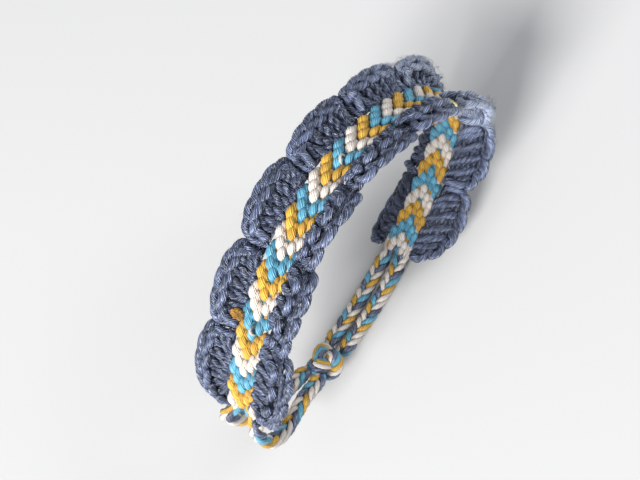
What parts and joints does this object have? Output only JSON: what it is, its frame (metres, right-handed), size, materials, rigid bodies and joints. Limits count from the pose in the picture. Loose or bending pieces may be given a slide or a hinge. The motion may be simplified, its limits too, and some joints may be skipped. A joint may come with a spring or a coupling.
{
  "type": "friendship bracelet",
  "caption": "Flat band of chevron knots edged with crocheted shells, closed by plaited tails and a plain knot under the wrist.",
  "frame": {"origin": "middle of the hollow that the wrist fills, on the hollow's widest line", "axes": "+X across the wrist towards the far end of the band, +Y along the wrist towards the back edging, +Z out of the back of the wrist"},
  "size_m": [0.0702, 0.0175, 0.0425],
  "materials": {
    "chevron_floss": "chevron rows of turquoise, golden and cream cotton floss",
    "slate_floss": "slate blue cotton floss with a soft sheen",
    "braid_floss": "plaited cream, golden, turquoise and slate cotton floss",
    "knot_floss": "knotted cotton floss of the four colours"
  },
  "bodies": {
    "root": {"chevron_band": "chevron_floss", "front_edging": "slate_floss", "back_edging": "slate_floss", "near_braid_front": "braid_floss", "near_braid_back": "braid_floss", "far_braid_front": "braid_floss", "far_braid_back": "braid_floss", "tie_knot": "knot_floss"}
  },
  "joints": []
}
